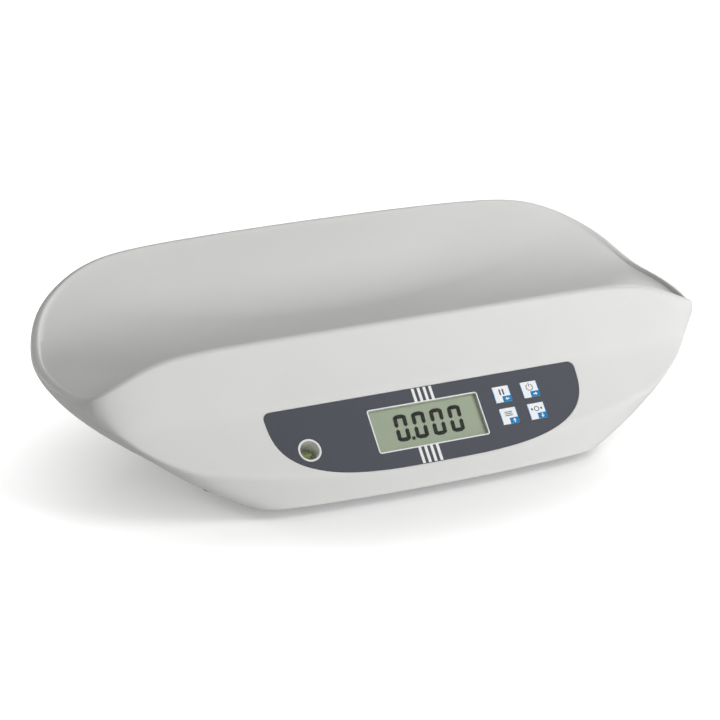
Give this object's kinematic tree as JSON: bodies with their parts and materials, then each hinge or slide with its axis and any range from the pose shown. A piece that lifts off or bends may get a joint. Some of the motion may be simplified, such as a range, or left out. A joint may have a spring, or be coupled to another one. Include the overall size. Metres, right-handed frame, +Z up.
{
  "type": "digital baby weighing scale",
  "caption": "Baby scale: an open moulded tray with a slanted front panel of display, level window and keys, standing on a load cell and base with screw feet.",
  "frame": {"origin": "on the floor, under the middle of the scale's overall box", "axes": "+X along the tray to the right as the panel is read, +Y from the panel to the back, +Z up"},
  "size_m": [0.6236, 0.302, 0.1645],
  "materials": {
    "shell": "satin white ABS",
    "base": "fine textured grey ABS",
    "overlay": "satin slate polyester foil",
    "window": "clear polycarbonate",
    "lcd": "reflective LCD glass",
    "frame": "black nylon",
    "key": "satin white printed key",
    "board": "solder mask",
    "chip": "moulded epoxy",
    "vial": "clear acrylic over green liquid",
    "well": "light grey nylon",
    "aluminium": "milled",
    "steel": "zinc plated",
    "rubber": "matt moulded",
    "battery": "plain printed jacket",
    "contact": "nickel plated",
    "cable": "matt PVC"
  },
  "bodies": {
    "base": {"base_plate": "base", "battery_bay": "base", "contact_plate_left": "contact", "contact_plate_right": "contact", "battery_1": "battery", "battery_2": "battery", "battery_3": "battery", "battery_4": "battery", "battery_5": "battery", "battery_6": "battery", "load_cell": "aluminium", "base_spacer": "aluminium", "base_cell_screw_1": "steel", "base_cell_screw_2": "steel", "overload_stop": "steel", "load_cell_lead": "cable"},
    "tray": {"upper_shell": "shell", "panel_overlay": "overlay", "display_window": "window", "lcd_glass": "lcd", "lcd_frame": "frame", "main_board": "board", "controller_chip": "chip", "lead_connector": "well", "board_screw_1": "steel", "board_screw_2": "steel", "board_screw_3": "steel", "board_screw_4": "steel", "switch_hold": "frame", "switch_power": "frame", "switch_print": "frame", "switch_tare": "frame", "level_well": "well", "level_vial": "vial", "tray_support": "steel", "shell_screw_1": "steel", "shell_screw_2": "steel", "shell_screw_3": "steel", "shell_screw_4": "steel", "tray_spacer": "aluminium", "tray_cell_screw_1": "steel", "tray_cell_screw_2": "steel", "port_housing": "shell", "dc_socket": "frame", "data_socket": "steel"},
    "hold_key": {"key_hold": "key"},
    "power_key": {"key_power": "key"},
    "print_key": {"key_print": "key"},
    "tare_key": {"key_tare": "key"},
    "door": {"battery_door": "base"},
    "front_left_stud": {"foot_stud_1": "steel"},
    "front_left_foot": {"foot_pad_1": "rubber"},
    "front_right_stud": {"foot_stud_2": "steel"},
    "front_right_foot": {"foot_pad_2": "rubber"},
    "back_left_stud": {"foot_stud_3": "steel"},
    "back_left_foot": {"foot_pad_3": "rubber"},
    "back_right_stud": {"foot_stud_4": "steel"},
    "back_right_foot": {"foot_pad_4": "rubber"}
  },
  "joints": [
    {"name": "weigh", "type": "slide", "parent": "base", "child": "tray", "axis": [0, 0, -1], "range_m": [0, 0.0005], "stiffness_N_per_m": 350000, "springref_m": -0.0001, "deforming": ["load_cell"]},
    {"name": "hold_press", "type": "slide", "parent": "tray", "child": "hold_key", "axis": [0, 0.7071, -0.7071], "range_m": [0, 0.0005], "stiffness_N_per_m": 2000, "springref_m": -0.0003},
    {"name": "power_press", "type": "slide", "parent": "tray", "child": "power_key", "axis": [0, 0.7071, -0.7071], "range_m": [0, 0.0005], "stiffness_N_per_m": 2000, "springref_m": -0.0003},
    {"name": "print_press", "type": "slide", "parent": "tray", "child": "print_key", "axis": [0, 0.7071, -0.7071], "range_m": [0, 0.0005], "stiffness_N_per_m": 2000, "springref_m": -0.0003},
    {"name": "tare_press", "type": "slide", "parent": "tray", "child": "tare_key", "axis": [0, 0.7071, -0.7071], "range_m": [0, 0.0005], "stiffness_N_per_m": 2000, "springref_m": -0.0003},
    {"name": "door_slide", "type": "slide", "parent": "base", "child": "door", "axis": [0, 1, 0], "range_m": [0, 0.056]},
    {"name": "front_left_lift", "type": "slide", "parent": "base", "child": "front_left_stud", "axis": [0, 0, -1], "range_m": [0, 0.004]},
    {"name": "front_left_turn", "type": "hinge", "parent": "front_left_stud", "child": "front_left_foot", "pos_m": [-0.177, -0.058, 0], "axis": [0, 0, 1], "range_deg": [0, 1440]},
    {"name": "front_right_lift", "type": "slide", "parent": "base", "child": "front_right_stud", "axis": [0, 0, -1], "range_m": [0, 0.004]},
    {"name": "front_right_turn", "type": "hinge", "parent": "front_right_stud", "child": "front_right_foot", "pos_m": [0.177, -0.058, 0], "axis": [0, 0, 1], "range_deg": [0, 1440]},
    {"name": "back_left_lift", "type": "slide", "parent": "base", "child": "back_left_stud", "axis": [0, 0, -1], "range_m": [0, 0.004]},
    {"name": "back_left_turn", "type": "hinge", "parent": "back_left_stud", "child": "back_left_foot", "pos_m": [-0.15, 0.058, 0], "axis": [0, 0, 1], "range_deg": [0, 1440]},
    {"name": "back_right_lift", "type": "slide", "parent": "base", "child": "back_right_stud", "axis": [0, 0, -1], "range_m": [0, 0.004]},
    {"name": "back_right_turn", "type": "hinge", "parent": "back_right_stud", "child": "back_right_foot", "pos_m": [0.15, 0.058, 0], "axis": [0, 0, 1], "range_deg": [0, 1440]}
  ],
  "couplings": [
    {"joint": "front_left_turn", "follows": "front_left_lift", "rad_per_m": 6283.2},
    {"joint": "front_right_turn", "follows": "front_right_lift", "rad_per_m": 6283.2},
    {"joint": "back_left_turn", "follows": "back_left_lift", "rad_per_m": 6283.2},
    {"joint": "back_right_turn", "follows": "back_right_lift", "rad_per_m": 6283.2}
  ]
}
